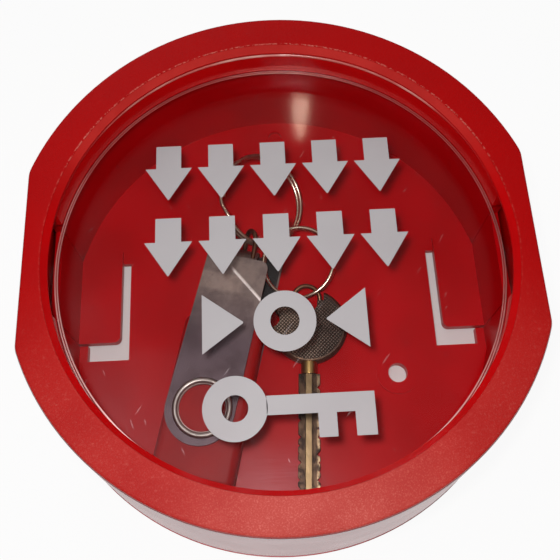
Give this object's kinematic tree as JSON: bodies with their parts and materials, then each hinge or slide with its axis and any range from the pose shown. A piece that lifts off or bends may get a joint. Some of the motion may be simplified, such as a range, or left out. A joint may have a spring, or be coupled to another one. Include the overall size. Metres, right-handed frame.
{
  "type": "break glass key box",
  "caption": "Round red wall box with two flat sides and a clear break-out front over a key on split rings with a steel clip and tag.",
  "frame": {"origin": "centre of the flat back face that goes against the wall", "axes": "+Z out of the clear front, +Y towards the top of the front as it hangs, +X to the right seen from the front; the box lies on its back"},
  "size_m": [0.147, 0.157, 0.057],
  "materials": {
    "tray_red": "glossy moulded red",
    "cover_red": "fine grain, satin red",
    "clear_panel": "clear",
    "ring_steel": "nickel plated wire",
    "clip_steel": "brushed grey",
    "eyelet_steel": "polished",
    "tag_red": "satin orange red",
    "loop_wire": "dull",
    "key_dark": "dark, knurled faces",
    "key_brass": "worn"
  },
  "bodies": {
    "tray": {"base_tray": "tray_red"},
    "latch_tongue_left": {"latch_tab_left": "tray_red"},
    "latch_tongue_right": {"latch_tab_right": "tray_red"},
    "cover": {"cover_ring": "cover_red", "panel_rim": "clear_panel"},
    "front_disc": {"break_disc": "clear_panel"},
    "key_set": {"split_ring_large": "ring_steel", "split_ring_small": "ring_steel", "fob_clip": "clip_steel", "fob_eyelet": "eyelet_steel", "fob_loop": "loop_wire"},
    "tag": {"fob_tag": "tag_red"},
    "key": {"key_eye": "loop_wire", "key_bow": "key_dark", "key_collar": "key_brass", "key_blade": "key_dark"}
  },
  "joints": [
    {"name": "cover_lift", "type": "slide", "parent": "tray", "child": "cover", "axis": [0, 0, 1], "range_m": [0, 0.11]},
    {"name": "disc_push", "type": "slide", "parent": "cover", "child": "front_disc", "axis": [0, 0, -1], "range_m": [0, 0.014]},
    {"name": "latch_left", "type": "hinge", "parent": "tray", "child": "latch_tongue_left", "pos_m": [-0.068, 0, 0.003], "axis": [0, 1, 0], "range_deg": [0, 2], "stiffness_Nm_per_rad": 0.4},
    {"name": "latch_right", "type": "hinge", "parent": "tray", "child": "latch_tongue_right", "pos_m": [0.068, 0, 0.003], "axis": [0, -1, 0], "range_deg": [0, 2], "stiffness_Nm_per_rad": 0.4},
    {"name": "keys_lift", "type": "slide", "parent": "tray", "child": "key_set", "axis": [0, 0, 1], "range_m": [0, 0.055]},
    {"name": "tag_swivel", "type": "hinge", "parent": "key_set", "child": "tag", "pos_m": [-0.02549, -0.0356, 0.009], "axis": [0, 0, 1], "range_deg": [0, 8]},
    {"name": "key_swing", "type": "hinge", "parent": "key_set", "child": "key", "pos_m": [0.0083, 0.0024, 0.008], "axis": [0, 0, 1], "range_deg": [0, 8]}
  ],
  "couplings": [
    {"joint": "keys_lift", "follows": "cover_lift", "ratio": 0.5}
  ]
}
